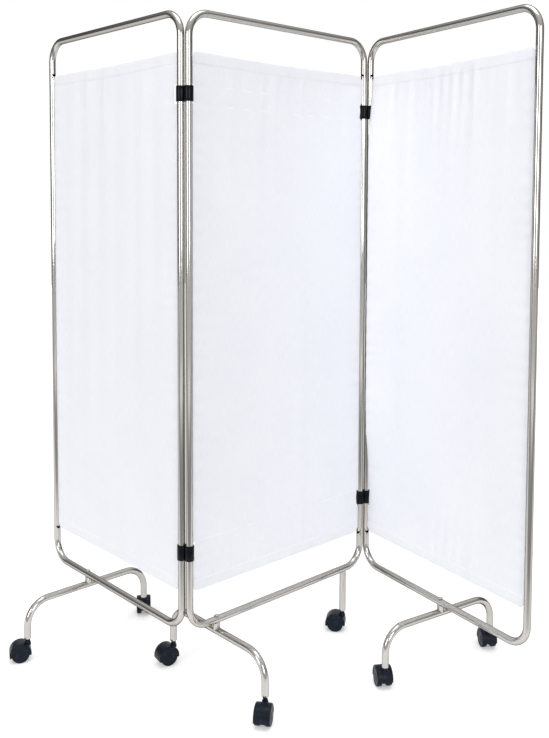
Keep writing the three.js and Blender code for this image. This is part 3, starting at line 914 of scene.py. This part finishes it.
def trimCutouts(bm, side):
    half = curtain["cutoutHalf"]
    gone = []
    for edge, depths in cutouts[side].items():
        for middle, depth in zip(clip["middles"], depths):
            x = depth if edge == "left" else screen["width"] - depth
            bmesh.ops.bisect_plane(bm, geom=allOf(bm), plane_co=(x, 0, 0), plane_no=(1, 0, 0))
            for z in (middle - half, middle + half):
                bmesh.ops.bisect_plane(bm, geom=allOf(bm), plane_co=(0, z, 0), plane_no=(0, 1, 0))
    for edge, depths in cutouts[side].items():
        for middle, depth in zip(clip["middles"], depths):
            for face in bm.faces:
                spot = face.calc_center_median()
                reach = spot.x if edge == "left" else screen["width"] - spot.x
                if abs(spot.y - middle) < half and reach < depth:
                    gone.append(face)
    bmesh.ops.delete(bm, geom=gone, context="FACES")


# the flat cloth's own sizes are kept as its UV map, so that the weave follows the folds
def hang(bm, side):
    flat = bm.loops.layers.uv.new("flat")
    for face in bm.faces:
        for loop in face.loops:
            loop[flat].uv = loop.vert.co.xy
    for vert in bm.verts:
        vert.co = clothPoint(side, vert.co.x, vert.co.y)
    bmesh.ops.recalc_face_normals(bm, faces=bm.faces)


# the cloth itself, trimmed at its corners and beside the clips
def makeCloth(side):
    inset = curtain["inHem"]
    bm = clothGrid(curtain["low"] + inset, curtain["high"] - inset, curtain["step"])
    trimCorners(bm)
    trimCutouts(bm, side)
    hang(bm, side)
    return newPiece(side + "CurtainCloth", bm, cloth, panels[side],
        [("SOLIDIFY", {"thickness": curtain["thick"], "offset": 0.0})], crease=60)


def makeHem(side, level, low, high):
    bm = clothGrid(low, high, curtain["step"])
    trimCorners(bm)
    hang(bm, side)
    return newPiece(f"{side}{level}Hem", bm, hemCloth, panels[side],
        [("SOLIDIFY", {"thickness": curtain["hemThick"], "offset": 0.0}), softened(0.0006, 60)], crease=70)


# the sleeve round a side cord, which the slot holds and the drilled ends show
def makeSleeve(side, edge, x):
    bm = bmesh.new()
    radius, steps = curtain["cordRadius"], 47
    climb = (0, 0, (curtain["high"] - curtain["low"]) / steps)
    verts = bmesh.ops.create_circle(bm, segments=14, radius=radius, cap_ends=True)["verts"]
    bmesh.ops.translate(bm, vec=(x, 0, curtain["low"]), verts=verts)
    last = bm.faces[:]
    for step in range(steps):
        grown = bmesh.ops.extrude_face_region(bm, geom=last)["geom"]
        moved = [item for item in grown if isinstance(item, bmesh.types.BMVert)]
        bmesh.ops.translate(bm, vec=climb, verts=moved)
        last = [item for item in grown if isinstance(item, bmesh.types.BMFace)]
    flat = bm.loops.layers.uv.new("flat")
    for face in bm.faces:
        for loop in face.loops:
            around = math.atan2(loop.vert.co.y, loop.vert.co.x - x) * radius
            loop[flat].uv = (around, loop.vert.co.z)
    bmesh.ops.recalc_face_normals(bm, faces=bm.faces)
    return newPiece(f"{side}{edge}Sleeve", bm, cloth, panels[side], crease=50)


# a row of stitches along each hem, on both faces of the cloth
def makeStitches(side):
    bm = bmesh.new()
    long, thick, start = curtain["stitch"], curtain["stitchThick"], curtain["seamIn"]
    shape = Matrix.Diagonal((long, thick, thick, 1))
    pitch = long + curtain["stitchGap"]
    count = int((screen["width"] - 2 * start) / pitch)
    for z in (curtain["low"] + curtain["seamUp"], curtain["high"] - curtain["seamUp"]):
        for face in (-1, 1):
            proud = face * curtain["hemThick"] * 0.5
            for i in range(count):
                x = start + i * pitch
                a, b = (clothPoint(side, x + d, z, proud) for d in (0, long))
                spot = Matrix.Translation((a + b) / 2)
                bmesh.ops.create_icosphere(bm, subdivisions=1, radius=0.5,
                    matrix=spot @ turnTo(b - a, (1, 0, 0)) @ shape)
    return newPiece(side + "HemStitches", bm, thread, panels[side], crease=180)


def makeCurtain(side):
    low, high, hem, cord = curtain["low"], curtain["high"], curtain["hem"], curtain["cord"]
    sheet = makeCloth(side)
    hems = [makeHem(side, "Bottom", low, low + hem), makeHem(side, "Top", high - hem, high)]
    hems += [makeSleeve(side, "Left", cord), makeSleeve(side, "Right", screen["width"] - cord)]
    stitches = makeStitches(side)
    for piece in (sheet, *hems, stitches):
        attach(piece, side + "_panel")
    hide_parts(side + "_curtain")


print("curtains")
for side in panels:
    makeCurtain(side)


print("floor and light")
studio = {
    "floor": "#f3f3f3",
    "floorShadeBand": "#969696",    # a band of painted shade on the floor in front of the screen, which the tubes reflect as dark lines low down
    # metres along the camera's heading from the screen's middle, and how lit the floor is over them
    "litStretch": (-6.0, 1.0),
    "floorLit": [(0.0, 0.7), (0.30, 0.7), (0.52, 0.0), (0.68, 0.0), (0.797, 1.0), (1.0, 1.0)],
    "floorSize": 24.0,
    # the floor is lifted to the backdrop's white, more so over a stretch far behind; the shadows stay
    "glowStretch": (1.5, 6.0),
    "floorGlow": (0.26, 0.85),
    # brightness of the studio's walls by how far round they are: behind the camera first, the backdrop last
    "walls": [(0.0, 0.60), (0.08, 0.66), (0.24, 0.64), (0.40, 0.38), (0.60, 0.18), (0.90, 0.16),
        (0.945, 1.0), (1.0, 1.0)],
    "ceiling": 0.9,
    "ceilingRise": (0.35, 0.85),    # how steeply up the walls turn into the ceiling
    # place, what it shines at, size and power of each lamp
    "lamps": {
        "softboxLeft": ((-4.6, -0.3, 2.0), (0, 0, 0.9), (1.1, 2.4), 56),
        "softboxRight": ((-2.0, -4.4, 2.1), (0, 0, 0.9), (1.1, 2.4), 69),
        "overhead": ((-0.4, -0.4, 5.0), (0, 0, 0), (3.0, 3.0), 75),
    },
}


# how far a direction or a place lies along the camera's heading
def alongHeading(tree, socket):
    yaw = math.radians(shot["yaw"])
    return add(tree, "VectorMath", [(0, socket), (1, (math.sin(yaw), math.cos(yaw), 0.0))],
        operation="DOT_PRODUCT").outputs["Value"]


def rescale(tree, value, span, to=(0.0, 1.0), **settings):
    return add(tree, "MapRange", [("Value", value), ("From Min", span[0]), ("From Max", span[1]),
        ("To Min", to[0]), ("To Max", to[1])], **settings).outputs["Result"]


def greyRamp(tree, factor, stops):
    return ramp(tree, factor, [(spot, grey(value)) for spot, value in stops]).outputs["Color"]


def makeFloor():
    bm = bmesh.new()
    bmesh.ops.create_circle(bm, cap_ends=True, segments=96, radius=studio["floorSize"] / 2)
    mesh = bpy.data.meshes.new("floor")
    bm.to_mesh(mesh)
    bm.free()
    floor = bpy.data.objects.new("floor", mesh)
    bpy.context.scene.collection.objects.link(floor)
    material, tree, output = newMaterial("mattPaintedFloor")
    ray = add(tree, "LightPath")
    seen = add(tree, "Math", [(0, ray.outputs["Is Camera Ray"]), (1, ray.outputs["Is Glossy Ray"])],
        operation="MAXIMUM")
    seen = add(tree, "Math", [(0, seen.outputs[0]), (1, ray.outputs["Is Transmission Ray"])],
        operation="MAXIMUM")
    spot = add(tree, "TexCoord")
    behind = alongHeading(tree, spot.outputs["Object"])
    glowing = rescale(tree, behind, studio["glowStretch"], studio["floorGlow"])
    lit = greyRamp(tree, rescale(tree, behind, studio["litStretch"]), studio["floorLit"])
    # the floor is painted dark over the band in front of the screen: painted shade, which the tubes reflect
    tone = add(tree, "Mix", [("Factor", lit), (6, linear(studio["floorShadeBand"])), (7, linear(studio["floor"]))],
        data_type="RGBA")
    lift = add(tree, "Math", [(0, seen.outputs[0]), (1, glowing)], operation="MULTIPLY")
    lift = add(tree, "Math", [(0, lift.outputs[0]), (1, lit)], operation="MULTIPLY")
    paint = add(tree, "BsdfDiffuse", [("Color", tone.outputs[2])])
    glow = add(tree, "Emission", [("Strength", lift.outputs[0])])
    both = add(tree, "AddShader", [(0, paint.outputs[0]), (1, glow.outputs[0])])
    tree.links.new(both.outputs[0], output.inputs["Surface"])
    floor.data.materials.append(material)


def makeWorld():
    world = bpy.data.worlds.new("studio")
    bpy.context.scene.world = world
    world.use_nodes = True
    tree = world.node_tree
    tree.nodes.clear()
    output = tree.nodes.new("ShaderNodeOutputWorld")
    way = add(tree, "TexCoord")
    level = add(tree, "VectorMath", [(0, way.outputs["Generated"]), (1, (1.0, 1.0, 0.0))],
        operation="MULTIPLY")
    level = add(tree, "VectorMath", [(0, level.outputs["Vector"])], operation="NORMALIZE")
    share = rescale(tree, alongHeading(tree, level.outputs["Vector"]), (-1.0, 1.0))
    walls = greyRamp(tree, share, studio["walls"])
    height = add(tree, "SeparateXYZ", [("Vector", way.outputs["Generated"])])
    rise = rescale(tree, height.outputs["Z"], studio["ceilingRise"], interpolation_type="SMOOTHSTEP")
    tone = add(tree, "Mix", [("Factor", rise), (6, walls), (7, grey(studio["ceiling"]))], data_type="RGBA")
    light = add(tree, "Background", [("Color", tone.outputs[2]), ("Strength", 1.0)])
    tree.links.new(light.outputs[0], output.inputs["Surface"])


def addLamp(name, place, aim, size, power):
    data = bpy.data.lights.new(name, "AREA")
    data.shape = "RECTANGLE"
    data.size, data.size_y = size
    data.energy = power
    lamp = bpy.data.objects.new(name, data)
    lamp.location = place
    lamp.rotation_mode = "QUATERNION"
    lamp.rotation_quaternion = (Vector(aim) - Vector(place)).to_track_quat("-Z", "Y")
    lamp.visible_camera = False
    bpy.context.scene.collection.objects.link(lamp)


makeFloor()
makeWorld()
for name, settings in studio["lamps"].items():
    addLamp(name, *settings)

print("finish")
